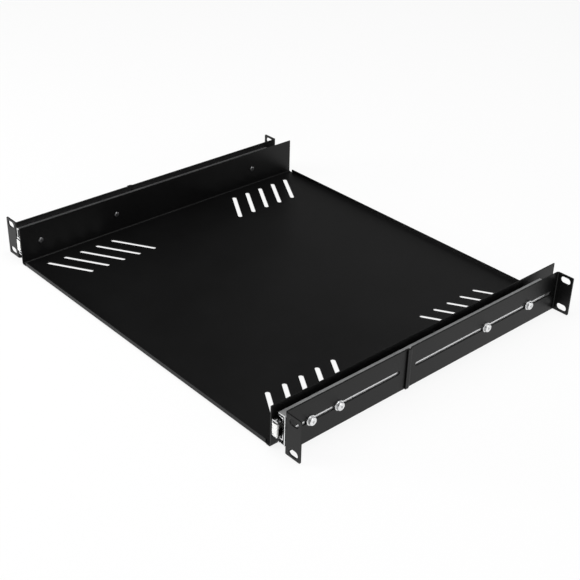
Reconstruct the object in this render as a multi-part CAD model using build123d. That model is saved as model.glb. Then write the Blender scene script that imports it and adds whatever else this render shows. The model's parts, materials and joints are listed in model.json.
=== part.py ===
from build123d import *
import math
import os

# A pull-out vented shelf for a 19 inch rack, one rack unit high.
# A folded tray runs on a pair of three-member ball-bearing slides.
# Each slide is bolted between a front and a rear bracket, whose long slots set the depth.
# Millimetres. X is to the right seen from the front, Y runs into the rack, Z is up.
# The origin is the centre of the front rack-hole pattern, on the front face of the ears.

# Rack standard
rack_width = 482.6
hole_edge_gap = 8.75
hole_pitch = 31.75
rack_hole_length = 12.0
rack_hole_height = 7.1

# Brackets
ear_height = 43.6
ear_sheet = 1.5
ear_bend = 1.0
ear_corner = 1.0
ear_reach = 20.1
rear_ear_gap = 16.4
seam_depth = 147.5
lap = 3.0
lap_clearance = 0.15
joggle_clearance = 0.5
joggle_run = 3.0
slot_height = 4.4
front_slot_start = 10.0
front_slot_seam_gap = 8.0
rear_slot_seam_gap = 12.5
rear_slot_ear_gap = 8.0

# Slides, set between the brackets and the tray
slide_thickness = 13.0
member_corner = 0.8
outer_start = 0.6
outer_length = 356.0
outer_height = 32.0
outer_sheet = 1.2
outer_width = 8.8
middle_start = 1.6
middle_shortfall = 8.0
middle_sheet = 1.0
middle_web_gap = 2.4
middle_tip_gap = 1.4
inner_setback = 0.6
inner_shortfall = 6.0
inner_sheet = 1.2
inner_tip_gap = 1.1
outer_race_offset = 6.8
inner_race_offset = 4.7
race_half_width = 1.8
race_shoulder = 0.4
race_clearance = 0.08
outer_ball = 3.0
inner_ball = 2.4

# Ball retainers
retainer_sheet = 0.5
retainer_start = 92.0
retainer_length = 168.0
retainer_gap = 0.3
retainer_ball_fit = 0.08
retainer_lip = 0.6
balls_in_row = 7

# Plastic stop at the back of each outer member, and plug in the front of each inner member
stop_clearance = 0.3
stop_inset = 1.0
bumper_plate = 1.8
bumper_top = 5.6
bumper_chamfer = 2.6
bumper_stem_length = 9.6
bumper_stem_width = 2.4
bumper_stem_half = 3.0

# Bolts and washers that clamp the brackets to the slides
bolt_shank = 4.0
bolt_head = 8.2
bolt_head_height = 3.0
bolt_head_round = 1.2
bolt_hole_fit = 0.05
bolt_tip_inset = 0.1
washer_outside = 10.0
washer_bore = 4.4
washer_sheet = 1.0
bolt_recess_width = 1.1
bolt_recess_length = 4.2
bolt_recess_depth = 1.4
front_bolt_places = (28.6, 62.0)
rear_bolt_end_gaps = (95.1, 29.2)

# Tray
tray_front = -3.7
tray_depth = 390.0
tray_bottom = -22.1
tray_height = 43.3
tray_sheet = 1.2
tray_bend = 1.2
lip_height = 5.0
lip_bend = 0.9
lip_end_gap = 7.0
relief_depth = 2.6
relief_width = 0.8

# Screws that hold the inner members to the tray walls
screw_shank = 3.0
screw_head = 6.4
screw_head_height = 1.5
screw_head_round = 0.8
screw_recess_width = 1.0
screw_recess_length = 3.2
screw_recess_depth = 0.8
front_screw_places = (20.9, 120.0)
rear_screw_end_gap = 24.2

# Vents in the tray floor
vent_length = 55.2
vent_width = 5.0
vent_angle = 31.0
vent_pitch = 20.75
vents_in_group = 5
vent_wall_gap = 39.8
vent_edge = 36.0

# Places that follow from the sizes above, on the right-hand side
cut_over = 1.0
hole_span = rack_width - 2 * hole_edge_gap
ear_edge = rack_width / 2
ear_half = ear_height / 2
web_inner = ear_edge - ear_reach
web_outer = web_inner + ear_sheet
outer_end = outer_start + outer_length
middle_length = outer_length - middle_shortfall
inner_length = outer_length - inner_shortfall
bracket_depth = outer_end + rear_ear_gap
front_slot_end = seam_depth - front_slot_seam_gap
rear_slot_start = seam_depth + rear_slot_seam_gap
rear_slot_end = bracket_depth - rear_slot_ear_gap
outer_face = web_inner - outer_sheet
middle_outer_face = outer_face - middle_web_gap
middle_inner_face = middle_outer_face - middle_sheet
wall_outer = web_inner - slide_thickness
wall_inner = wall_outer - tray_sheet
inner_face = wall_outer + inner_sheet
outer_race_x = web_inner - outer_race_offset
inner_race_x = wall_outer + inner_race_offset
outer_half = outer_height / 2
outer_ball_z = outer_half - outer_sheet - outer_ball / 2
middle_half = outer_ball_z - outer_ball / 2
inner_ball_z = middle_half - middle_sheet - inner_ball / 2
inner_half = inner_ball_z - inner_ball / 2
inner_start = tray_front + inner_setback
inner_tip = middle_inner_face - inner_tip_gap
floor_top = tray_bottom + tray_sheet
tray_top = tray_bottom + tray_height
tray_back = tray_front + tray_depth
lip_half = wall_outer - lip_end_gap
vent_side = wall_outer - vent_wall_gap
bolt_places = {
    "front": front_bolt_places,
    "rear": tuple(outer_end - gap for gap in rear_bolt_end_gaps),
}
screw_places = (*front_screw_places, inner_start + inner_length - rear_screw_end_gap)


def block(x_low, x_high, y_low, y_high, z_low, z_high):
    """A box between two corners."""
    size = (x_high - x_low, y_high - y_low, z_high - z_low)
    middle = ((x_low + x_high) / 2, (y_low + y_high) / 2, (z_low + z_high) / 2)
    return Pos(*middle) * Box(*size)


def rod_x(radius, x_low, x_high, y, z=0):
    """A cylinder along X between two faces."""
    return Pos((x_low + x_high) / 2, y, z) * Rot(0, 90, 0) * Cylinder(radius, x_high - x_low)


def rod_y(radius, y_low, y_high, x, z):
    """A cylinder along Y between two faces."""
    return Pos(x, (y_low + y_high) / 2, z) * Rot(90, 0, 0) * Cylinder(radius, y_high - y_low)


def edges_at(shape, axis, x=None, y=None, z=None):
    """The edges along an axis whose middles lie at the given places."""
    found = []
    for edge in shape.edges().filter_by(axis):
        middle = edge.center()
        wanted = ((middle.X, x), (middle.Y, y), (middle.Z, z))
        if all(place is None or abs(value - place) < 0.01 for value, place in wanted):
            found.append(edge)
    return found


def web_slot(y_low, y_high):
    """A long round-ended slot along Y, cut through a bracket's web."""
    radius = slot_height / 2
    faces = (web_inner - cut_over, web_outer + cut_over)
    slot = block(*faces, y_low + radius, y_high - radius, -radius, radius)
    for y in (y_low + radius, y_high - radius):
        slot += rod_x(radius, *faces, y)
    return slot


def rack_holes(y_low, y_high):
    """The two oval holes of one ear, cut between two Y faces."""
    radius = rack_hole_height / 2
    half = rack_hole_length / 2 - radius
    middle = hole_span / 2
    holes = []
    for z in (-hole_pitch / 2, hole_pitch / 2):
        hole = block(middle - half, middle + half, y_low, y_high, z - radius, z + radius)
        for x in (middle - half, middle + half):
            hole += rod_y(radius, y_low, y_high, x, z)
        holes.append(hole)
    return holes


def bracket(outline, bend_y, inside_y, slot, ear_y):
    """A bracket folded from one sheet: its outline seen from above, raised, bent, slotted and drilled."""
    body = Pos(0, 0, -ear_half) * extrude(make_face(Polyline(*outline, close=True)), ear_height)
    body = fillet(edges_at(body, Axis.Z, web_inner, bend_y), ear_bend + ear_sheet)
    body = fillet(edges_at(body, Axis.Z, web_outer, inside_y), ear_bend)
    body = fillet(edges_at(body, Axis.Y, x=ear_edge), ear_corner)
    body -= web_slot(*slot)
    for hole in rack_holes(ear_y - cut_over, ear_y + ear_sheet + cut_over):
        body -= hole
    return body


def front_bracket():
    """The web runs back from the front ear to just past the seam."""
    back = seam_depth + lap
    outline = (
        (web_inner, 0),
        (ear_edge, 0),
        (ear_edge, ear_sheet),
        (web_outer, ear_sheet),
        (web_outer, back),
        (web_inner, back),
    )
    return bracket(outline, 0, ear_sheet, (front_slot_start, front_slot_end), 0)


def rear_bracket():
    """The web's front end steps out by a sheet, so that it laps the front bracket."""
    step = ear_sheet + lap_clearance
    step_start = seam_depth + lap + joggle_clearance
    step_end = step_start + joggle_run
    bend_shift = ear_sheet * math.tan(math.atan2(step, joggle_run) / 2)
    back = bracket_depth + ear_sheet
    outline = (
        (web_inner, back),
        (web_inner, step_end),
        (web_inner + step, step_start),
        (web_inner + step, seam_depth),
        (web_outer + step, seam_depth),
        (web_outer + step, step_start + bend_shift),
        (web_outer, step_end + bend_shift),
        (web_outer, bracket_depth),
        (ear_edge, bracket_depth),
        (ear_edge, back),
    )
    return bracket(outline, back, bracket_depth, (rear_slot_start, rear_slot_end), bracket_depth)


def channel(web, tip, half, sheet, start, length):
    """A C channel along Y: a web between two X faces, and two flanges that reach to the tip."""
    low, high = web
    inwards = tip < low
    outside = block(min(low, tip), max(high, tip), start, start + length, -half, half)
    hollow_x = (tip - cut_over, low) if inwards else (high, tip + cut_over)
    ends = (start - cut_over, start + length + cut_over)
    body = outside - block(*hollow_x, *ends, sheet - half, half - sheet)
    return fillet(edges_at(body, Axis.Y, x=high if inwards else low), member_corner)


def race_pads(x, z_low, z_high, start, length):
    """The thicker bands along both flanges in which the ball races are rolled."""
    x_faces = (x - race_half_width, x + race_half_width)
    top = block(*x_faces, start, start + length, z_low, z_high)
    return top + block(*x_faces, start, start + length, -z_high, -z_low)


def race_cut(x, z, ball, start, length):
    """The path of both rows of balls, as a cutter."""
    ends = (start - cut_over, start + length + cut_over)
    radius = ball / 2 + race_clearance
    return rod_y(radius, *ends, x, z) + rod_y(radius, *ends, x, -z)


def outer_member():
    """The fixed member: its web lies on the brackets and has a tapped hole for each bolt."""
    run = (outer_start, outer_length)
    body = channel((outer_face, web_inner), web_inner - outer_width, outer_half, outer_sheet, *run)
    flange = outer_half - outer_sheet
    body += race_pads(outer_race_x, flange - race_shoulder, flange + outer_sheet / 2, *run)
    body -= race_cut(outer_race_x, outer_ball_z, outer_ball, *run)
    for y in bolt_places["front"] + bolt_places["rear"]:
        radius = bolt_shank / 2 + bolt_hole_fit
        body -= rod_x(radius, outer_face - cut_over, web_inner + cut_over, y)
    return body


def middle_member():
    """The member between the other two, with a race on both faces of each flange."""
    run = (middle_start, middle_length)
    web = (middle_inner_face, middle_outer_face)
    body = channel(web, wall_outer + middle_tip_gap, middle_half, middle_sheet, *run)
    core = middle_half - middle_sheet / 2
    body += race_pads(outer_race_x, core, middle_half + race_shoulder, *run)
    body += race_pads(inner_race_x, middle_half - middle_sheet - race_shoulder, core, *run)
    body -= race_cut(outer_race_x, outer_ball_z, outer_ball, *run)
    body -= race_cut(inner_race_x, inner_ball_z, inner_ball, *run)
    return body


def inner_member():
    """The member on the tray wall, with a hole for each tray screw."""
    run = (inner_start, inner_length)
    body = channel((wall_outer, inner_face), inner_tip, inner_half, inner_sheet, *run)
    body += race_pads(inner_race_x, inner_half - inner_sheet / 2, inner_half + race_shoulder, *run)
    body -= race_cut(inner_race_x, inner_ball_z, inner_ball, *run)
    for y in screw_places:
        radius = screw_shank / 2 + bolt_hole_fit
        body -= rod_x(radius, wall_outer - cut_over, inner_face + cut_over, y)
    return body


def ball_places():
    """The Y places of the balls along one row of a retainer."""
    pitch = retainer_length / balls_in_row
    return [retainer_start + pitch * (number + 0.5) for number in range(balls_in_row)]


def retainer(x, z, ball, web_low):
    """A thin folded channel that spaces both rows of balls of one stage."""
    tip = x - ball / 2 - retainer_ball_fit - retainer_lip
    half = z + retainer_sheet / 2
    web = (web_low, web_low + retainer_sheet)
    body = channel(web, tip, half, retainer_sheet, retainer_start, retainer_length)
    for y in ball_places():
        for level in (-z, z):
            body -= Pos(x, y, level) * Cylinder(ball / 2 + retainer_ball_fit, 2 * retainer_sheet)
    return body


def outer_retainer():
    """The retainer between the outer and the middle member."""
    web_low = (middle_outer_face + outer_face - retainer_sheet) / 2
    return retainer(outer_race_x, outer_ball_z, outer_ball, web_low)


def inner_retainer():
    """The retainer between the middle and the inner member."""
    return retainer(inner_race_x, inner_ball_z, inner_ball, inner_tip + retainer_gap)


def balls(x, z, ball):
    """Both rows of balls of one stage."""
    places = [Pos(x, y, level) for y in ball_places() for level in (-z, z)]
    return Compound(children=[place * Sphere(ball / 2) for place in places])


def rear_stop():
    """The plastic block in the back of the outer member that the middle member comes home against."""
    y_low = middle_start + middle_length + stop_clearance
    y_high = outer_end - stop_clearance
    half = outer_ball_z - stop_inset
    return block(middle_inner_face, outer_face, y_low, y_high, -half, half)


def front_plug():
    """The white plastic plug in the front end of the inner member, flush with the tray."""
    low = inner_sheet - inner_half
    plate = block(inner_face, inner_tip, tray_front, tray_front + bumper_plate, low, bumper_top)
    plate = chamfer(edges_at(plate, Axis.Y, x=inner_face, z=low), bumper_chamfer)
    stem_x = (inner_face, inner_face + bumper_stem_width)
    stem_y = (tray_front, tray_front + bumper_stem_length)
    return plate + block(*stem_x, *stem_y, -bumper_stem_half, bumper_stem_half)


def cross_recess(x_faces, y, length, width):
    """The cutter for a cross recess in a screw head."""
    long, short = length / 2, width / 2
    level = block(*x_faces, y - long, y + long, -short, short)
    return level + block(*x_faces, y - short, y + short, -long, long)


def bolt(y):
    """A rounded pan-head bolt with a cross recess, through a slot into the slide."""
    face = web_outer + washer_sheet
    top = face + bolt_head_height
    head = rod_x(bolt_head / 2, face, top, y)
    rim = head.edges().filter_by(GeomType.CIRCLE).sort_by(Axis.X)[-1]
    body = fillet(rim, bolt_head_round) + rod_x(bolt_shank / 2, outer_face + bolt_tip_inset, face, y)
    faces = (top - bolt_recess_depth, top + cut_over)
    return body - cross_recess(faces, y, bolt_recess_length, bolt_recess_width)


def washer(y):
    """A plain washer under a bolt head."""
    ring = rod_x(washer_outside / 2, web_outer, web_outer + washer_sheet, y)
    return ring - rod_x(washer_bore / 2, web_outer - cut_over, web_outer + washer_sheet + cut_over, y)


def tray_screw(y):
    """A low cross-recessed screw through the tray wall into the inner member."""
    top = wall_inner - screw_head_height
    head = rod_x(screw_head / 2, top, wall_inner, y)
    rim = head.edges().filter_by(GeomType.CIRCLE).sort_by(Axis.X)[0]
    body = fillet(rim, screw_head_round) + rod_x(screw_shank / 2, wall_inner, inner_face, y)
    faces = (top - cut_over, top + screw_recess_depth)
    return body - cross_recess(faces, y, screw_recess_length, screw_recess_width)


def vents():
    """Four groups of slanted round-ended vents, each group the mirror image of its neighbours."""
    cutter = extrude(SlotOverall(vent_length, vent_width), tray_sheet + 2 * cut_over)
    low = tray_bottom - cut_over
    cutters = []
    for number in range(vents_in_group):
        inset = vent_edge + number * vent_pitch
        for side in (-1, 1):
            front = Pos(side * vent_side, tray_front + inset, low) * Rot(0, 0, -side * vent_angle)
            back = Pos(side * vent_side, tray_back - inset, low) * Rot(0, 0, side * vent_angle)
            cutters += [front * cutter, back * cutter]
    return cutters


def tray_shell():
    """The floor and the two side walls."""
    shell = block(-wall_outer, wall_outer, tray_front, tray_back, tray_bottom, tray_top)
    shell = fillet(edges_at(shell, Axis.Y, z=tray_bottom), tray_bend + tray_sheet)
    hollow = block(-wall_inner, wall_inner, tray_front - cut_over, tray_back + cut_over,
                   floor_top, tray_top + cut_over)
    return shell - fillet(edges_at(hollow, Axis.Y, z=floor_top), tray_bend)


def tray():
    """One folded sheet: floor, side walls, and a low lip along the front and along the back."""
    body = tray_shell()
    relief_x = lip_half + relief_width
    low, high = tray_bottom - cut_over, floor_top + cut_over
    ends = (
        (tray_front, tray_front - cut_over, tray_front + relief_depth, tray_front + tray_sheet),
        (tray_back, tray_back - relief_depth, tray_back + cut_over, tray_back - tray_sheet),
    )
    for edge, cut_low, cut_high, lip_inside in ends:
        for side in (-1, 1):
            x_faces = sorted((side * lip_half, side * relief_x))
            body -= block(*x_faces, cut_low, cut_high, low, high)
        y_faces = sorted((edge, lip_inside))
        body -= block(-lip_half, lip_half, *y_faces, low, high)
        lip = block(-lip_half, lip_half, *y_faces, tray_bottom, tray_bottom + lip_height)
        body += fillet(edges_at(lip, Axis.X, y=edge, z=tray_bottom), lip_bend)
    for cutter in vents():
        body -= cutter
    for y in screw_places:
        radius = screw_shank / 2 + bolt_hole_fit
        body -= rod_x(radius, -wall_outer - cut_over, wall_outer + cut_over, y)
    return body


def side_pieces():
    """Every piece of the right-hand side, by name."""
    pieces = {
        "front_bracket": front_bracket(),
        "rear_bracket": rear_bracket(),
        "outer_member": outer_member(),
        "middle_member": middle_member(),
        "inner_member": inner_member(),
        "outer_retainer": outer_retainer(),
        "inner_retainer": inner_retainer(),
        "outer_balls": balls(outer_race_x, outer_ball_z, outer_ball),
        "inner_balls": balls(inner_race_x, inner_ball_z, inner_ball),
        "rear_stop": rear_stop(),
        "front_plug": front_plug(),
    }
    for end, places in bolt_places.items():
        for number, y in enumerate(places, 1):
            pieces[f"{end}_bolt_{number}"] = bolt(y)
            pieces[f"{end}_washer_{number}"] = washer(y)
    for number, y in enumerate(screw_places, 1):
        pieces[f"tray_screw_{number}"] = tray_screw(y)
    return pieces


def main():
    os.makedirs("parts", exist_ok=True)
    export_step(tray(), "parts/tray.step")
    for name, piece in side_pieces().items():
        export_step(piece, f"parts/right_{name}.step")
        export_step(mirror(piece, about=Plane.YZ), f"parts/left_{name}.step")


main()
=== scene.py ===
import json
import math
import bpy
from mathutils import Matrix, Vector


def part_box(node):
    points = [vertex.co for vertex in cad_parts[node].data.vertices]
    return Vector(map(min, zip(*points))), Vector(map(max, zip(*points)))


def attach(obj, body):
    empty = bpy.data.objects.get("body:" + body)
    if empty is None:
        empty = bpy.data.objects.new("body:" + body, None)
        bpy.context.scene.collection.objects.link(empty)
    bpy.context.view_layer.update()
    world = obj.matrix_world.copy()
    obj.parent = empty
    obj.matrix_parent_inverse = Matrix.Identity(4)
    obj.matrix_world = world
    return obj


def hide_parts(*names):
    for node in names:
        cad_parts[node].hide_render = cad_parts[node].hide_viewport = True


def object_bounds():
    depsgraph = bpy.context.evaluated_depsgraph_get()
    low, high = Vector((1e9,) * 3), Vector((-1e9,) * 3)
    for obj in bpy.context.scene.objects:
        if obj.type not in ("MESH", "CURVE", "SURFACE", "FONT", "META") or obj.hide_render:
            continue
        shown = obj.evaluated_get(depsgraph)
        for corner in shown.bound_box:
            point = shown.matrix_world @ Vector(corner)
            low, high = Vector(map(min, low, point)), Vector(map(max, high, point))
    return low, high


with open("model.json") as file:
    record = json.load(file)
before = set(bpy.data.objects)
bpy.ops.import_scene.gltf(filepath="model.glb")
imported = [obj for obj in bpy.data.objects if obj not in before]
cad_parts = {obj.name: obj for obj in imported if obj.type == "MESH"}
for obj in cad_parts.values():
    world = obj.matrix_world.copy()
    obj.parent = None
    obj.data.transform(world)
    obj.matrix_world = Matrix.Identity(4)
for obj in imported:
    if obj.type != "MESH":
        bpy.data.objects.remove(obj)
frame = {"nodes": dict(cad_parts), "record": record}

cadLow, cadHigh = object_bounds()
mm = 0.001


# Helpers for node trees

def setSocket(tree, socket, value):
    # another node's output is linked, anything else is written on the socket
    if hasattr(value, "is_linked"):
        tree.links.new(value, socket)
    else:
        socket.default_value = value


def addInputs(tree, inputs):
    for socketName, value in inputs.items():
        socket = tree.interface.new_socket(socketName, in_out="INPUT", socket_type="NodeSocketFloat")
        socket.default_value = value


def addMath(tree, operation, first, second=None, clamp=False):
    node = tree.nodes.new("ShaderNodeMath")
    node.operation = operation
    node.use_clamp = clamp
    setSocket(tree, node.inputs[0], first)
    if second is not None:
        setSocket(tree, node.inputs[1], second)
    return node.outputs[0]


def addProduct(tree, first, second, third, clamp=False):
    return addMath(tree, "MULTIPLY", addMath(tree, "MULTIPLY", first, second), third, clamp)


def addBlend(tree, first, second, share):
    # the first by its share, the second by the rest
    firstPart = addMath(tree, "MULTIPLY", first, share)
    secondPart = addMath(tree, "MULTIPLY", second, 1.0 - share)
    return addMath(tree, "ADD", firstPart, secondPart)


def addRange(tree, value, span, result=(0.0, 1.0)):
    # the span of the value, stretched over the result
    node = tree.nodes.new("ShaderNodeMapRange")
    for socketName, number in zip(("From Min", "From Max", "To Min", "To Max"), (*span, *result)):
        node.inputs[socketName].default_value = number
    tree.links.new(value, node.inputs["Value"])
    return node.outputs["Result"]


# Shader groups

def newGroup(name, inputs, outputs):
    group = bpy.data.node_groups.new(name, "ShaderNodeTree")
    group.interface.new_socket("Vector", in_out="INPUT", socket_type="NodeSocketVector")
    addInputs(group, inputs)
    for socketName in outputs:
        group.interface.new_socket(socketName, in_out="OUTPUT", socket_type="NodeSocketFloat")
    return group, group.nodes.new("NodeGroupInput").outputs, group.nodes.new("NodeGroupOutput").inputs


def addNoise(tree, vector, scale, detail=3.0, roughness=0.55):
    node = tree.nodes.new("ShaderNodeTexNoise")
    node.inputs["Detail"].default_value = detail
    node.inputs["Roughness"].default_value = roughness
    tree.links.new(vector, node.inputs["Vector"])
    setSocket(tree, node.inputs["Scale"], scale)
    return node.outputs["Fac"]


def addShelter(tree, reach, samples):
    # 1 on open faces, less in corners and gaps
    node = tree.nodes.new("ShaderNodeAmbientOcclusion")
    node.samples = samples
    setSocket(tree, node.inputs["Distance"], reach)
    return node.outputs["AO"]


grainValues = {
    "fineDetail": 2.0,
    "fineShare": 0.6,
    "cloudDetail": 4.0,
    "cloudRoughness": 0.6,
    "speckSize": 420.0,
    "speckDetail": 2.0,
    "speckSpan": (0.62, 0.8),
    "speckShare": 0.35,
}


def makePowderGrain(values):
    # fine pebbled skin of a baked powder coat, with slow changes in tone and gloss
    group, given, result = newGroup(
        "powderGrain", {"Pebble Size": 900.0, "Cloud Size": 9.0}, ("Height", "Tone", "Gloss"))
    vector = given["Vector"]
    pebble = group.nodes.new("ShaderNodeTexVoronoi")
    pebble.feature = "SMOOTH_F1"
    group.links.new(vector, pebble.inputs["Vector"])
    group.links.new(given["Pebble Size"], pebble.inputs["Scale"])
    fine = addNoise(group, vector, given["Pebble Size"], values["fineDetail"])
    fineHeight = addMath(group, "MULTIPLY", fine, values["fineShare"])
    height = addMath(group, "ADD", pebble.outputs["Distance"], fineHeight)
    cloud = addNoise(group, vector, given["Cloud Size"], values["cloudDetail"], values["cloudRoughness"])
    specks = addNoise(group, vector, values["speckSize"], values["speckDetail"])
    speckTone = addMath(group, "MULTIPLY", addRange(group, specks, values["speckSpan"]), values["speckShare"])
    group.links.new(height, result["Height"])
    group.links.new(addMath(group, "ADD", cloud, speckTone), result["Tone"])
    group.links.new(addMath(group, "MULTIPLY", cloud, fine), result["Gloss"])
    return group


# outer edges that take a lighter colour, as wear and as painted edge highlight
wearAndHighlightValues = {
    "bevelSamples": 4,
    "edgeSpan": (0.995, 0.8),
    "shelterReach": 4.0 * mm,
    "shelterSamples": 4,
    "openSpan": (0.6, 0.9),
    "breakSize": 140.0,
    "breakDetail": 4.0,
    "breakRoughness": 0.7,
    "breakSpan": (0.4, 0.62),
}


def makeEdgeWearAndHighlight(values):
    # mask of the outer edges, broken up by noise, that leaves the inner corners alone; its light colour
    # stands for worn coat and for painted edge highlight
    group, given, result = newGroup("edgeWearAndHighlight", {"Width": 0.6 * mm, "Amount": 0.5}, ("Mask",))
    bevel = group.nodes.new("ShaderNodeBevel")
    bevel.samples = values["bevelSamples"]
    group.links.new(given["Width"], bevel.inputs["Radius"])
    geometry = group.nodes.new("ShaderNodeNewGeometry")
    dot = group.nodes.new("ShaderNodeVectorMath")
    dot.operation = "DOT_PRODUCT"
    group.links.new(bevel.outputs["Normal"], dot.inputs[0])
    group.links.new(geometry.outputs["Normal"], dot.inputs[1])
    edge = addRange(group, dot.outputs["Value"], values["edgeSpan"])
    shelter = addShelter(group, values["shelterReach"], values["shelterSamples"])
    openFace = addRange(group, shelter, values["openSpan"])
    noise = addNoise(
        group, given["Vector"], values["breakSize"], values["breakDetail"], values["breakRoughness"])
    wornAndHighlight = addProduct(group, edge, openFace, addRange(group, noise, values["breakSpan"]))
    group.links.new(addMath(group, "MULTIPLY", wornAndHighlight, given["Amount"], True), result["Mask"])
    return group


# painted shade in corners and gaps: shelter samples, how fast it deepens, and its uneven patches
cornerShadeValues = {
    "samples": 10,
    "fade": 0.22,
    "patchSize": 90.0,
    "patchSpan": (0.3, 0.6),
    "patchDepth": (0.7, 1.0),
}


def makeCornerShade(values):
    # mask of painted shade that darkens corners and gaps, where the shelter falls below Start
    group, given, result = newGroup(
        "paintedCornerShade", {"Reach": 8.0 * mm, "Start": 0.3, "Amount": 0.8}, ("Mask",))
    shelter = addShelter(group, given["Reach"], values["samples"])
    below = addMath(group, "SUBTRACT", given["Start"], shelter)
    deep = addMath(group, "DIVIDE", below, values["fade"], True)
    patches = addNoise(group, given["Vector"], values["patchSize"])
    uneven = addRange(group, patches, values["patchSpan"], values["patchDepth"])
    group.links.new(addProduct(group, deep, uneven, given["Amount"], True), result["Mask"])
    return group


rolledValues = {
    "stretch": (1.0, 0.012, 1.0),
    "lineRoughness": 0.6,
    "cloudSize": 30.0,
    "cloudDetail": 4.0,
    "cloudRoughness": 0.6,
    "hazeSize": 150.0,
    "lineShare": 0.6,
    "hazeShare": 0.5,
}


def makeRolledLines(values):
    # fine lines along the length of rolled strip, with the soft clouding of zinc plating
    group, given, result = newGroup("rolledLines", {"Line Size": 2600.0}, ("Height", "Tone", "Gloss"))
    vector = given["Vector"]
    drawnOut = group.nodes.new("ShaderNodeVectorMath")
    drawnOut.operation = "MULTIPLY"
    drawnOut.inputs[1].default_value = values["stretch"]
    group.links.new(vector, drawnOut.inputs[0])
    lines = addNoise(group, drawnOut.outputs[0], given["Line Size"], roughness=values["lineRoughness"])
    cloud = addNoise(group, vector, values["cloudSize"], values["cloudDetail"], values["cloudRoughness"])
    haze = addNoise(group, vector, values["hazeSize"])
    tone = addBlend(group, lines, cloud, values["lineShare"])
    gloss = addBlend(group, haze, cloud, values["hazeShare"])
    group.links.new(lines, result["Height"])
    group.links.new(tone, result["Tone"])
    group.links.new(gloss, result["Gloss"])
    return group


powderGrain = makePowderGrain(grainValues)
edgeWearAndHighlight = makeEdgeWearAndHighlight(wearAndHighlightValues)
paintedCornerShade = makeCornerShade(cornerShadeValues)
rolledLines = makeRolledLines(rolledValues)
print("shader groups made")


# Materials

def newMaterial(name):
    material = bpy.data.materials.new(name)
    material.use_nodes = True
    tree = material.node_tree
    coordinates = tree.nodes.new("ShaderNodeTexCoord")
    return material, tree, tree.nodes["Principled BSDF"], coordinates.outputs["Object"]


def placeGroup(tree, group, vector, values):
    node = tree.nodes.new("ShaderNodeGroup")
    node.node_tree = group
    tree.links.new(vector, node.inputs["Vector"])
    for socketName, value in values.items():
        node.inputs[socketName].default_value = value
    return node.outputs


def placeGrain(tree, vector, look):
    return placeGroup(tree, powderGrain, vector, {
        "Pebble Size": look["pebbleSize"],
        "Cloud Size": look["cloudSize"],
    })


def placeWearAndHighlight(tree, vector, look):
    return placeGroup(tree, edgeWearAndHighlight, vector, {
        "Width": look["wearAndHighlightWidth"],
        "Amount": look["wearAndHighlightAmount"],
    })


def placeCornerShade(tree, vector, look):
    return placeGroup(tree, paintedCornerShade, vector, {
        "Reach": look["cornerShadeReach"],
        "Start": look["cornerShadeStart"],
        "Amount": look["cornerShadeAmount"],
    })


def addMix(tree, factor, first, second):
    # sockets 6 and 7 take the two colours, and output 2 is their mix
    node = tree.nodes.new("ShaderNodeMix")
    node.data_type = "RGBA"
    for index, value in ((0, factor), (6, first), (7, second)):
        setSocket(tree, node.inputs[index], value)
    return node.outputs[2]


def addSurface(tree, shader, pattern, mask, maskColour, look):
    # dark to light by the pattern's tone, the mask's colour over it, and roughness by the gloss
    tone = addRange(tree, pattern["Tone"], look["toneSpan"])
    base = addMix(tree, tone, look["dark"], look["light"])
    tree.links.new(addMix(tree, mask["Mask"], base, maskColour), shader.inputs["Base Color"])
    rough = addRange(tree, pattern["Gloss"], look["glossSpan"], look["rough"])
    tree.links.new(rough, shader.inputs["Roughness"])
    bump = tree.nodes.new("ShaderNodeBump")
    bump.inputs["Strength"].default_value = look["bumpStrength"]
    bump.inputs["Distance"].default_value = look["bumpHeight"]
    tree.links.new(pattern["Height"], bump.inputs["Height"])
    tree.links.new(bump.outputs["Normal"], shader.inputs["Normal"])


powderLook = {
    "dark": (0.001, 0.001, 0.00106, 1.0),
    "light": (0.0026, 0.0026, 0.00272, 1.0),
    # light colour on the outer edges, standing for worn coat and for painted edge highlight
    "wornAndHighlight": (0.016, 0.016, 0.0166, 1.0),
    "toneSpan": (0.3, 0.75),
    "glossSpan": (0.1, 0.5),
    "rough": (0.37, 0.46),
    "specular": 0.23,
    "pebbleSize": 1100.0,
    "cloudSize": 9.0,
    "wearAndHighlightWidth": 0.5 * mm,
    "wearAndHighlightAmount": 0.6,
    "bumpStrength": 0.35,
    "bumpHeight": 0.12 * mm,
}


def makePowderCoat(name, look):
    material, tree, shader, vector = newMaterial(name)
    grain = placeGrain(tree, vector, look)
    # worn coat and painted edge highlight on the outer edges
    wearAndHighlight = placeWearAndHighlight(tree, vector, look)
    addSurface(tree, shader, grain, wearAndHighlight, look["wornAndHighlight"], look)
    shader.inputs["Specular IOR Level"].default_value = look["specular"]
    return material


zincLook = {
    "dark": (0.72, 0.725, 0.73, 1.0),
    "light": (0.93, 0.935, 0.94, 1.0),
    # colour of the painted shade laid over the zinc in its corners and gaps
    "cornerShade": (0.05, 0.048, 0.043, 1.0),
    "toneSpan": (0.32, 0.66),
    "glossSpan": (0.2, 0.8),
    "metallic": 1.0,
    "cornerShadeReach": 8.0 * mm,
    "bumpStrength": 0.12,
    "bumpHeight": 0.05 * mm,
}
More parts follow.
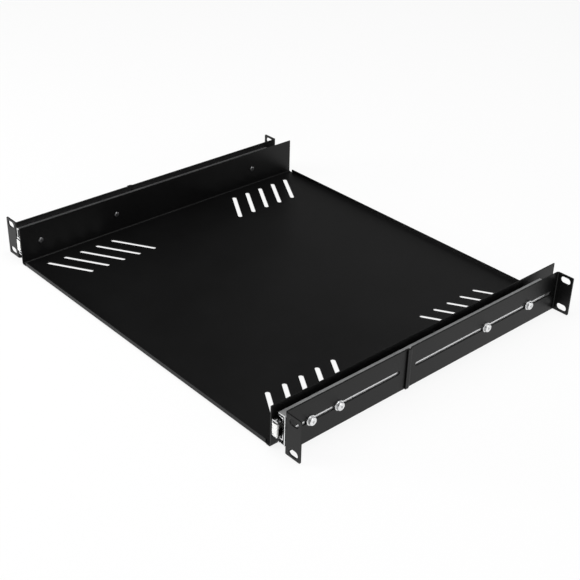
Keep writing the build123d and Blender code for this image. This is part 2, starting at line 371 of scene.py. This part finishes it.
# in each finish the last two numbers set how strongly painted shade darkens its corners and gaps
zincFinishes = {
    "strip": {"lineSize": 2600.0, "rough": (0.3, 0.4), "cornerShadeAmount": 0.9, "cornerShadeStart": 0.3},
    "inside": {"lineSize": 2600.0, "rough": (0.2, 0.3), "cornerShadeAmount": 0.9, "cornerShadeStart": 0.7},
    "bolt": {"lineSize": 5200.0, "rough": (0.44, 0.54), "cornerShadeAmount": 0.1, "cornerShadeStart": 0.3},
    "washer": {"lineSize": 5200.0, "rough": (0.3, 0.4), "cornerShadeAmount": 0.1, "cornerShadeStart": 0.3},
    "ball": {"lineSize": 5200.0, "rough": (0.06, 0.12), "cornerShadeAmount": 0.3, "cornerShadeStart": 0.3},
}


def makeZinc(name, finish):
    material, tree, shader, vector = newMaterial(name)
    look = {**zincLook, **zincFinishes[finish]}
    lines = placeGroup(tree, rolledLines, vector, {"Line Size": look["lineSize"]})
    # painted shade darkens the zinc where it is sheltered
    cornerShade = placeCornerShade(tree, vector, look)
    addSurface(tree, shader, lines, cornerShade, look["cornerShade"], look)
    shader.inputs["Metallic"].default_value = look["metallic"]
    return material


plasticLook = {
    "dark": (0.74, 0.735, 0.72, 1.0),
    "light": (0.86, 0.86, 0.85, 1.0),
    # colour of the painted shade laid over the plastic in its corners and gaps
    "cornerShade": (0.03, 0.029, 0.026, 1.0),
    "toneSpan": (0.3, 0.75),
    "glossSpan": (0.1, 0.5),
    "rough": (0.38, 0.5),
    "subsurface": 0.08,
    "subsurfaceRadius": (2.0 * mm, 2.0 * mm, 1.8 * mm),
    "pebbleSize": 1600.0,
    "cloudSize": 60.0,
    # reach, start and amount of that painted shade
    "cornerShadeReach": 8.0 * mm,
    "cornerShadeStart": 0.72,
    "cornerShadeAmount": 0.95,
    "bumpStrength": 0.2,
    "bumpHeight": 0.04 * mm,
}


def makePlastic(name, look):
    material, tree, shader, vector = newMaterial(name)
    grain = placeGrain(tree, vector, look)
    # painted shade darkens the plastic where it is sheltered
    cornerShade = placeCornerShade(tree, vector, look)
    addSurface(tree, shader, grain, cornerShade, look["cornerShade"], look)
    shader.inputs["Subsurface Weight"].default_value = look["subsurface"]
    shader.inputs["Subsurface Radius"].default_value = look["subsurfaceRadius"]
    return material


screwLook = {
    "dark": (0.15, 0.15, 0.154, 1.0),
    "light": (0.24, 0.24, 0.244, 1.0),
    # light colour on the edges of the heads, standing for wear and for painted highlight
    "wornAndHighlight": (0.5, 0.5, 0.505, 1.0),
    "toneSpan": (0.3, 0.75),
    "glossSpan": (0.1, 0.5),
    "rough": (0.28, 0.42),
    "metallic": 1.0,
    "pebbleSize": 2400.0,
    "cloudSize": 120.0,
    "wearAndHighlightWidth": 0.3 * mm,
    "wearAndHighlightAmount": 0.5,
    "bumpStrength": 0.15,
    "bumpHeight": 0.03 * mm,
}


def makeBlackScrew(name, look):
    material, tree, shader, vector = newMaterial(name)
    grain = placeGrain(tree, vector, look)
    # wear and painted highlight on the edges of the heads
    wearAndHighlight = placeWearAndHighlight(tree, vector, look)
    addSurface(tree, shader, grain, wearAndHighlight, look["wornAndHighlight"], look)
    shader.inputs["Metallic"].default_value = look["metallic"]
    return material


# The record's slots by their own names, and three more finishes for pieces of the zinc slot
materials = {
    "black_powder_coat": makePowderCoat("blackPowderCoat", powderLook),
    "zinc_plate": makeZinc("zincPlate", "strip"),
    "zincInside": makeZinc("zincInside", "inside"),
    "zincBolt": makeZinc("zincBolt", "bolt"),
    "zincWasher": makeZinc("zincWasher", "washer"),
    "bearing_steel": makeZinc("bearingSteel", "ball"),
    "white_plastic": makePlastic("whitePlastic", plasticLook),
    "black_screws": makeBlackScrew("blackScrew", screwLook),
}
print("materials made:", len(materials))

# the members inside the slide take a zinc finish with more painted shade over their sheltered faces
insideKinds = ("middle_member", "inner_member", "outer_retainer", "inner_retainer")
for part in frame["record"]["subparts"]:
    node = frame["nodes"][part["node"]]
    finish = "zincInside" if part["node"].endswith(insideKinds) else part["material_slot"]
    for materialSlot in node.material_slots:
        materialSlot.link = "OBJECT"
        materialSlot.material = materials[finish]
print("materials given to", len(frame["nodes"]), "nodes")


# Geometry Nodes for the small turned pieces that repeat

turnedValues = {
    "mergeDistance": 0.002 * mm,
    "seed": 7,
}


def newTree(name, inputs):
    tree = bpy.data.node_groups.new(name, "GeometryNodeTree")
    tree.interface.new_socket("Places", in_out="INPUT", socket_type="NodeSocketGeometry")
    addInputs(tree, inputs)
    tree.interface.new_socket("Geometry", in_out="OUTPUT", socket_type="NodeSocketGeometry")
    return tree, tree.nodes.new("NodeGroupInput").outputs, tree.nodes.new("NodeGroupOutput").inputs


def addNode(tree, kind, sockets):
    node = tree.nodes.new(kind)
    for socketName, value in sockets.items():
        setSocket(tree, node.inputs[socketName], value)
    return node


def addCurve(tree, factor, points):
    node = addNode(tree, "ShaderNodeFloatCurve", {"Value": factor})
    curve = node.mapping.curves[0]
    curve.points[0].location = points[0]
    curve.points[1].location = points[-1]
    for place in points[1:-1]:
        curve.points.new(*place)
    for point in curve.points:
        point.handle_type = "VECTOR"
    node.mapping.update()
    return node.outputs["Value"]


def addTurned(tree, segments, rings, shapeOf):
    # a square grid from -0.5 to 0.5, wrapped round Z: shapeOf gives radius and height at (around, along)
    grid = addNode(tree, "GeometryNodeMeshGrid", {
        "Size X": 1.0, "Size Y": 1.0, "Vertices X": segments + 1, "Vertices Y": rings + 1})
    position = tree.nodes.new("GeometryNodeInputPosition").outputs[0]
    place = addNode(tree, "ShaderNodeSeparateXYZ", {"Vector": position}).outputs
    around = addMath(tree, "ADD", place["X"], 0.5)
    along = addMath(tree, "ADD", place["Y"], 0.5)
    radius, height = shapeOf(around, along)
    angle = addMath(tree, "MULTIPLY", around, math.tau)
    bent = addNode(tree, "ShaderNodeCombineXYZ", {
        "X": addMath(tree, "MULTIPLY", radius, addMath(tree, "COSINE", angle)),
        "Y": addMath(tree, "MULTIPLY", radius, addMath(tree, "SINE", angle)),
        "Z": height})
    turned = addNode(tree, "GeometryNodeSetPosition", {
        "Geometry": grid.outputs["Mesh"], "Position": bent.outputs[0]})
    merged = addNode(tree, "GeometryNodeMergeByDistance", {
        "Geometry": turned.outputs[0], "Distance": turnedValues["mergeDistance"]})
    return merged.outputs[0]


def addPlaced(tree, places, shape, material, spin):
    # one copy on each point, its axis along X by the point's own turn, spun at random about that axis
    # by 0 to spin, the sockets 2 and 3 of the random number
    turn = tree.nodes.new("GeometryNodeInputNamedAttribute")
    turn.data_type = "FLOAT"
    turn.inputs["Name"].default_value = "turn"
    facing = addNode(tree, "ShaderNodeCombineXYZ", {"Y": turn.outputs["Attribute"]})
    copies = addNode(tree, "GeometryNodeInstanceOnPoints", {
        "Points": places, "Instance": shape, "Rotation": facing.outputs[0]})
    chance = tree.nodes.new("FunctionNodeRandomValue")
    chance.data_type = "FLOAT"
    chance.inputs[2].default_value = 0.0
    tree.links.new(spin, chance.inputs[3])
    chance.inputs["Seed"].default_value = turnedValues["seed"]
    around = addNode(tree, "ShaderNodeCombineXYZ", {"Z": chance.outputs[1]})
    spun = addNode(tree, "GeometryNodeRotateInstances", {
        "Instances": copies.outputs[0], "Rotation": around.outputs[0]})
    real = addNode(tree, "GeometryNodeRealizeInstances", {"Geometry": spun.outputs[0]})
    coated = addNode(tree, "GeometryNodeSetMaterial", {"Geometry": real.outputs[0], "Material": material})
    return coated.outputs[0]


screwShape = {
    "headSegments": 40,
    "headRings": 20,
    "shankSegments": 24,
    "shankRings": 100,
    "shankEnds": [(0.0, 0.0), (0.01, 1.0), (0.93, 1.0), (0.99, 0.72), (1.0, 0.0)],
    "coneSides": 16,
    "coneTopShare": 1.25,
    "coneFootShare": 0.3,
    "coneDepthShare": 1.2,
}


def makeScrewTree(name, material, domeRadius, domeHeight):
    # a turned head with a cross recess, and a shank whose thread is a ridge that climbs one pitch a turn
    tree, given, result = newTree(name, {
        "Head Radius": 4.0 * mm,
        "Head Height": 3.0 * mm,
        "Shank Radius": 2.0 * mm,
        "Shank Length": 5.0 * mm,
        "Thread Pitch": 0.7 * mm,
        "Thread Depth": 0.3 * mm,
        "Recess Length": 4.0 * mm,
        "Recess Width": 1.0 * mm,
        "Recess Depth": 1.4 * mm,
        "Spin": math.tau,
    })

    def headShape(around, along):
        radius = addMath(tree, "MULTIPLY", addCurve(tree, along, domeRadius), given["Head Radius"])
        height = addMath(tree, "MULTIPLY", addCurve(tree, along, domeHeight), given["Head Height"])
        return radius, height

    def shankShape(around, along):
        depth = addMath(tree, "MULTIPLY", along, given["Shank Length"])
        turns = addMath(tree, "ADD", addMath(tree, "DIVIDE", depth, given["Thread Pitch"]), around)
        climb = addMath(tree, "MULTIPLY", addMath(tree, "FRACT", turns), 2.0)
        ridge = addMath(tree, "ABSOLUTE", addMath(tree, "SUBTRACT", climb, 1.0))
        groove = addMath(tree, "MULTIPLY", ridge, given["Thread Depth"])
        crest = addMath(tree, "SUBTRACT", given["Shank Radius"], groove)
        closed = addCurve(tree, along, screwShape["shankEnds"])
        return addMath(tree, "MULTIPLY", crest, closed), addMath(tree, "MULTIPLY", depth, -1.0)

    head = addTurned(tree, screwShape["headSegments"], screwShape["headRings"], headShape)
    shank = addTurned(tree, screwShape["shankSegments"], screwShape["shankRings"], shankShape)
    cutters = []
    for long, short in (("Recess Length", "Recess Width"), ("Recess Width", "Recess Length")):
        size = addNode(tree, "ShaderNodeCombineXYZ", {
            "X": given[long], "Y": given[short], "Z": addMath(tree, "MULTIPLY", given["Recess Depth"], 2.0)})
        cutters.append(addNode(tree, "GeometryNodeMeshCube", {"Size": size.outputs[0]}).outputs["Mesh"])
    depthShare = screwShape["coneDepthShare"]
    cone = addNode(tree, "GeometryNodeMeshCone", {
        "Vertices": screwShape["coneSides"],
        "Radius Top": addMath(tree, "MULTIPLY", given["Recess Width"], screwShape["coneTopShare"]),
        "Radius Bottom": addMath(tree, "MULTIPLY", given["Recess Width"], screwShape["coneFootShare"]),
        "Depth": addMath(tree, "MULTIPLY", given["Recess Depth"], 2.0 * depthShare)})
    drop = addNode(tree, "ShaderNodeCombineXYZ", {
        "Z": addMath(tree, "MULTIPLY", given["Recess Depth"], -depthShare)})
    lowered = addNode(tree, "GeometryNodeTransform", {
        "Geometry": cone.outputs["Mesh"], "Translation": drop.outputs[0]})
    cutters.append(lowered.outputs[0])
    raised = addNode(tree, "ShaderNodeCombineXYZ", {"Z": given["Head Height"]})
    for cutter in cutters:
        moved = addNode(tree, "GeometryNodeTransform", {"Geometry": cutter, "Translation": raised.outputs[0]})
        cut = tree.nodes.new("GeometryNodeMeshBoolean")
        cut.operation = "DIFFERENCE"
        tree.links.new(head, cut.inputs["Mesh 1"])
        tree.links.new(moved.outputs[0], cut.inputs["Mesh 2"])
        head = cut.outputs["Mesh"]
    joined = tree.nodes.new("GeometryNodeJoinGeometry")
    for shape in (head, shank):
        tree.links.new(shape, joined.inputs[0])
    placed = addPlaced(tree, given["Places"], joined.outputs[0], material, given["Spin"])
    tree.links.new(placed, result["Geometry"])
    return tree


def makeWasherTree(name, material, sizes):
    tree, given, result = newTree(name, {
        "Bore Radius": 2.2 * mm,
        "Rim Width": 2.8 * mm,
        "Thickness": 1.0 * mm,
        "Spin": math.tau,
    })

    def ringShape(around, along):
        across = addCurve(tree, along, sizes["ringAcross"])
        level = addCurve(tree, along, sizes["ringLevel"])
        rim = addMath(tree, "MULTIPLY", across, given["Rim Width"])
        radius = addMath(tree, "ADD", given["Bore Radius"], rim)
        return radius, addMath(tree, "MULTIPLY", level, given["Thickness"])

    ring = addTurned(tree, sizes["segments"], sizes["rings"], ringShape)
    placed = addPlaced(tree, given["Places"], ring, material, given["Spin"])
    tree.links.new(placed, result["Geometry"])
    return tree


def makeBallTree(name, material, sizes):
    tree, given, result = newTree(name, {"Ball Radius": 1.5 * mm, "Spin": math.tau})
    ball = addNode(tree, "GeometryNodeMeshIcoSphere", {
        "Radius": given["Ball Radius"], "Subdivisions": sizes["subdivisions"]})
    placed = addPlaced(tree, given["Places"], ball.outputs["Mesh"], material, given["Spin"])
    tree.links.new(placed, result["Geometry"])
    return tree


def makePlaces(name, places, turns):
    mesh = bpy.data.meshes.new(name)
    mesh.from_pydata([tuple(place) for place in places], [], [])
    attribute = mesh.attributes.new("turn", "FLOAT", "POINT")
    for index, turn in enumerate(turns):
        attribute.data[index].value = turn
    piece = bpy.data.objects.new(name, mesh)
    bpy.context.scene.collection.objects.link(piece)
    return piece


def growPiece(name, tree, places, turns, values, sharpDegrees):
    piece = makePlaces(name, places, turns)
    modifier = piece.modifiers.new("shape", "NODES")
    modifier.node_group = tree
    identifiers = {item.name: item.identifier for item in tree.interface.items_tree if item.in_out == "INPUT"}
    for valueName, value in values.items():
        modifier[identifiers[valueName]] = value
    bpy.context.view_layer.update()
    grown = bpy.data.meshes.new_from_object(piece.evaluated_get(bpy.context.evaluated_depsgraph_get()))
    piece.modifiers.remove(modifier)
    piece.data = grown
    grown.shade_smooth()
    grown.set_sharp_from_angle(angle=math.radians(sharpDegrees))
    print(name, "has", len(grown.polygons), "faces")
    return piece


# Where the fasteners sit, read from the frame

sides = {"right": 1.0, "left": -1.0}


def sideOf(node):
    return sides[node.split("_")[0]]


def nodesWith(word):
    return sorted(name for name in frame["nodes"] if word in name)


def outerFace(node):
    low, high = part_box(node)
    return high.x if sideOf(node) > 0 else low.x


def innerFace(node):
    low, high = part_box(node)
    return low.x if sideOf(node) > 0 else high.x


def radiusOf(node):
    low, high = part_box(node)
    return (high.y - low.y) / 2


def lengthOf(node):
    return abs(outerFace(node) - innerFace(node))


def axisPoint(node, x):
    low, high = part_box(node)
    middle = (low + high) / 2
    return Vector((x, middle.y, middle.z))


def screwValues(sizes, headRadius, headHeight, shankLength):
    return {
        "Head Radius": headRadius,
        "Head Height": headHeight,
        "Shank Radius": sizes["shankRadius"],
        "Shank Length": shankLength,
        "Thread Pitch": sizes["threadPitch"],
        "Thread Depth": sizes["threadDepth"],
        "Recess Length": sizes["recessLength"],
        "Recess Width": sizes["recessWidth"],
        "Recess Depth": sizes["recessDepth"],
        "Spin": sizes["spin"],
    }


boltSizes = {
    "shankRadius": 2.0 * mm,
    "threadPitch": 0.7 * mm,
    "threadDepth": 0.35 * mm,
    "recessLength": 3.0 * mm,
    "recessWidth": 0.8 * mm,
    "recessDepth": 0.6 * mm,
    "spin": math.tau,
    "sharpDegrees": 38,
    "domeRadius": [(0.0, 0.0), (0.15, 0.97), (0.2, 1.0), (0.4, 1.0), (0.5, 0.97), (0.6, 0.9), (0.7, 0.76),
                   (0.85, 0.42), (1.0, 0.0)],
    "domeHeight": [(0.0, 0.0), (0.15, 0.0), (0.2, 0.04), (0.4, 0.6), (0.5, 0.77), (0.6, 0.89), (0.7, 0.96),
                   (0.85, 0.99), (1.0, 1.0)],
}


def makeBolts(sizes):
    bolts = nodesWith("_bolt_")
    washerFaces = [outerFace(name.replace("bolt", "washer")) for name in bolts]
    places = [axisPoint(name, face) for name, face in zip(bolts, washerFaces)]
    turns = [sideOf(name) * math.pi / 2 for name in bolts]
    headHeight = abs(outerFace(bolts[0]) - washerFaces[0])
    shankLength = abs(washerFaces[0] - innerFace(bolts[0]))
    values = screwValues(sizes, radiusOf(bolts[0]), headHeight, shankLength)
    tree = makeScrewTree("panHeadBolts", materials["zincBolt"], sizes["domeRadius"], sizes["domeHeight"])
    piece = growPiece("bolts", tree, places, turns, values, sizes["sharpDegrees"])
    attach(piece, "root")
    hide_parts(*bolts)


washerSizes = {
    "bore": 2.2 * mm,
    "segments": 48,
    "rings": 20,
    "spin": math.tau,
    "sharpDegrees": 38,
    "ringAcross": [(0.0, 0.0), (0.05, 0.06), (0.45, 0.94), (0.5, 1.0), (0.55, 1.0), (0.6, 0.94), (0.9, 0.06),
                   (0.95, 0.0), (1.0, 0.0)],
    "ringLevel": [(0.0, 0.15), (0.05, 0.0), (0.45, 0.0), (0.5, 0.15), (0.55, 0.85), (0.6, 1.0), (0.9, 1.0),
                  (0.95, 0.85), (1.0, 0.15)],
}


def makeWashers(sizes):
    washers = nodesWith("_washer_")
    places = [axisPoint(name, innerFace(name)) for name in washers]
    turns = [sideOf(name) * math.pi / 2 for name in washers]
    tree = makeWasherTree("plainWashers", materials["zincWasher"], sizes)
    piece = growPiece("washers", tree, places, turns, {
        "Bore Radius": sizes["bore"],
        "Rim Width": radiusOf(washers[0]) - sizes["bore"],
        "Thickness": lengthOf(washers[0]),
        "Spin": sizes["spin"],
    }, sizes["sharpDegrees"])
    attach(piece, "root")
    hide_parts(*washers)


traySizes = {
    "headHeight": 1.5 * mm,
    "shankRadius": 1.5 * mm,
    "threadPitch": 0.5 * mm,
    "threadDepth": 0.25 * mm,
    "recessLength": 3.8 * mm,
    "recessWidth": 1.4 * mm,
    "recessDepth": 1.1 * mm,
    "spin": math.tau,
    "sharpDegrees": 38,
    "domeRadius": [(0.0, 0.0), (0.2, 1.0), (0.3, 0.98), (0.45, 0.9), (0.6, 0.77), (0.8, 0.48), (1.0, 0.0)],
    "domeHeight": [(0.0, 0.0), (0.2, 0.0), (0.3, 0.25), (0.45, 0.52), (0.6, 0.76), (0.8, 0.94), (1.0, 1.0)],
}


def makeTrayScrews(sizes):
    # the heads are inside the tray, so these screws face the other way
    screws = nodesWith("_tray_screw_")
    places = [axisPoint(name, innerFace(name) + sideOf(name) * sizes["headHeight"]) for name in screws]
    turns = [-sideOf(name) * math.pi / 2 for name in screws]
    shankLength = lengthOf(screws[0]) - sizes["headHeight"]
    values = screwValues(sizes, radiusOf(screws[0]), sizes["headHeight"], shankLength)
    tree = makeScrewTree(
        "trayWallScrews", materials["black_screws"], sizes["domeRadius"], sizes["domeHeight"])
    piece = growPiece("trayScrews", tree, places, turns, values, sizes["sharpDegrees"])
    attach(piece, "tray")
    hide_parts(*screws)


ballSizes = {
    "perRow": 7,
    "subdivisions": 4,
    "spin": math.tau,
    "sharpDegrees": 60,
}


def makeBalls(sizes):
    # two rows in each node, one at its top and one at its foot
    tree = makeBallTree("slideBalls", materials["bearing_steel"], sizes)
    for sideName in sides:
        for stage in ("outer", "inner"):
            node = f"{sideName}_{stage}_balls"
            low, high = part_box(node)
            radius = (high.x - low.x) / 2
            reach = high.y - low.y - 2 * radius
            places = []
            for level in (low.z + radius, high.z - radius):
                for number in range(sizes["perRow"]):
                    along = low.y + radius + reach * number / (sizes["perRow"] - 1)
                    places.append(Vector(((low.x + high.x) / 2, along, level)))
            piece = growPiece(f"{sideName}{stage.capitalize()}Balls", tree, places, [0.0] * len(places), {
                "Ball Radius": radius,
                "Spin": sizes["spin"],
            }, sizes["sharpDegrees"])
            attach(piece, f"{sideName}_{stage}_cage")
            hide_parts(node)


makeBolts(boltSizes)
makeWashers(washerSizes)
makeTrayScrews(traySizes)
makeBalls(ballSizes)
print("bolts, washers, screws and balls made")


# Floor, world, lamps and camera

floorLook = {
    "halfSize": 40.0,
    "gap": 0.6 * mm,
    "colour": (0.86, 0.86, 0.86, 1.0),
    "roughness": 0.9,
    "specular": 0.1,
    "whiteShare": 0.86,
}


def makeFloor(look):
    # a pale sheet that keeps the shadow, with plain white laid over it for the rays that look at it
    mesh = bpy.data.meshes.new("floor")
    half = look["halfSize"]
    level = cadLow.z - look["gap"]
    corners = [(-half, -half, level), (half, -half, level), (half, half, level), (-half, half, level)]
    mesh.from_pydata(corners, [], [(0, 1, 2, 3)])
    floor = bpy.data.objects.new("floor", mesh)
    bpy.context.scene.collection.objects.link(floor)
    material = bpy.data.materials.new("paleFloor")
    material.use_nodes = True
    tree = material.node_tree
    shader = tree.nodes["Principled BSDF"]
    shader.inputs["Base Color"].default_value = look["colour"]
    shader.inputs["Roughness"].default_value = look["roughness"]
    shader.inputs["Specular IOR Level"].default_value = look["specular"]
    white = tree.nodes.new("ShaderNodeEmission")
    rays = tree.nodes.new("ShaderNodeLightPath").outputs
    seen = addMath(tree, "MAXIMUM", rays["Is Camera Ray"], rays["Is Glossy Ray"])
    seen = addMath(tree, "MAXIMUM", seen, rays["Is Transmission Ray"])
    mix = tree.nodes.new("ShaderNodeMixShader")
    tree.links.new(addMath(tree, "MULTIPLY", seen, look["whiteShare"]), mix.inputs[0])
    tree.links.new(shader.outputs[0], mix.inputs[1])
    tree.links.new(white.outputs[0], mix.inputs[2])
    tree.links.new(mix.outputs[0], tree.nodes["Material Output"].inputs["Surface"])
    mesh.materials.append(material)


worldLook = {
    "colour": (1.0, 1.0, 1.0, 1.0),
    "backSpan": (0.45, 0.8),
    "backLight": (0.02, 0.33),
    "rightSpan": (0.3, 0.7),
    "rightLight": (0.0, 0.45),
    "bandSpan": (0.08, 0.27),
    "bandLight": (0.93, 0.0),
}


def makeWorld(look):
    # bright towards the back and the right, and in a low band all round that meets the floor
    world = bpy.data.worlds.new("studio")
    bpy.context.scene.world = world
    world.use_nodes = True
    tree = world.node_tree
    coordinates = tree.nodes.new("ShaderNodeTexCoord")
    split = tree.nodes.new("ShaderNodeSeparateXYZ")
    tree.links.new(coordinates.outputs["Generated"], split.inputs[0])
    back = addRange(tree, split.outputs["Y"], look["backSpan"], look["backLight"])
    right = addRange(tree, split.outputs["X"], look["rightSpan"], look["rightLight"])
    sky = addMath(tree, "MAXIMUM", back, right)
    band = addRange(tree, split.outputs["Z"], look["bandSpan"], look["bandLight"])
    background = tree.nodes["Background"].inputs
    background["Color"].default_value = look["colour"]
    tree.links.new(addMath(tree, "MAXIMUM", sky, band), background["Strength"])


aimPoint = Vector((0.0, 0.19, 0.0))
lamps = {
    "keyLamp": {"place": (-1.3, -1.5, 1.7), "size": 1.5, "power": 30.0},
    "topLamp": {"place": (0.1, 0.3, 2.1), "size": 1.6, "power": 30.0},
    "sideLamp": {"place": (1.9, 0.2, 1.0), "size": 1.2, "power": 12.0},
    "lowLamp": {"place": (-0.95, -0.95, 0.14), "size": 0.4, "power": 14.0},
}


def makeLamp(name, settings):
    light = bpy.data.lights.new(name, "AREA")
    light.shape = "SQUARE"
    light.size = settings["size"]
    light.energy = settings["power"]
    lamp = bpy.data.objects.new(name, light)
    bpy.context.scene.collection.objects.link(lamp)
    lamp.location = settings["place"]
    aim = aimPoint - Vector(settings["place"])
    lamp.rotation_euler = aim.to_track_quat("-Z", "Y").to_euler()


cameraSettings = {
    "azimuth": 47.598,
    "elevation": 30.52,
    "roll": 1.545,
    "distance": 1.192053,
    "shiftRight": 0.00954,
    "shiftUp": -0.028153,
    "focalPixels": 1115.798,
    "imagePixels": 580.0,
    "sensorWidth": 36.0,
    "clipStart": 0.05,
    "clipEnd": 200.0,
}


def makeCamera(settings):
    azimuth, elevation, roll = (math.radians(settings[key]) for key in ("azimuth", "elevation", "roll"))
    back = Vector((math.sin(azimuth) * math.cos(elevation), -math.cos(azimuth) * math.cos(elevation),
                   math.sin(elevation)))
    right = Vector((math.cos(azimuth), math.sin(azimuth), 0.0))
    up = back.cross(right)
    rolledRight = right * math.cos(roll) + up * math.sin(roll)
    rolledUp = up * math.cos(roll) - right * math.sin(roll)
    place = aimPoint + back * settings["distance"]
    place += rolledRight * settings["shiftRight"] + rolledUp * settings["shiftUp"]
    data = bpy.data.cameras.new("camera")
    data.sensor_width = settings["sensorWidth"]
    data.lens = settings["sensorWidth"] * settings["focalPixels"] / settings["imagePixels"]
    data.clip_start = settings["clipStart"]
    data.clip_end = settings["clipEnd"]
    camera = bpy.data.objects.new("camera", data)
    bpy.context.scene.collection.objects.link(camera)
    turn = Matrix((rolledRight, rolledUp, back)).transposed().to_4x4()
    camera.matrix_world = Matrix.Translation(place) @ turn
    bpy.context.scene.camera = camera


makeFloor(floorLook)
makeWorld(worldLook)
for lampName, lampSettings in lamps.items():
    makeLamp(lampName, lampSettings)
makeCamera(cameraSettings)
bpy.context.scene.view_settings.view_transform = "Standard"
print("floor, world, lamps and camera made")
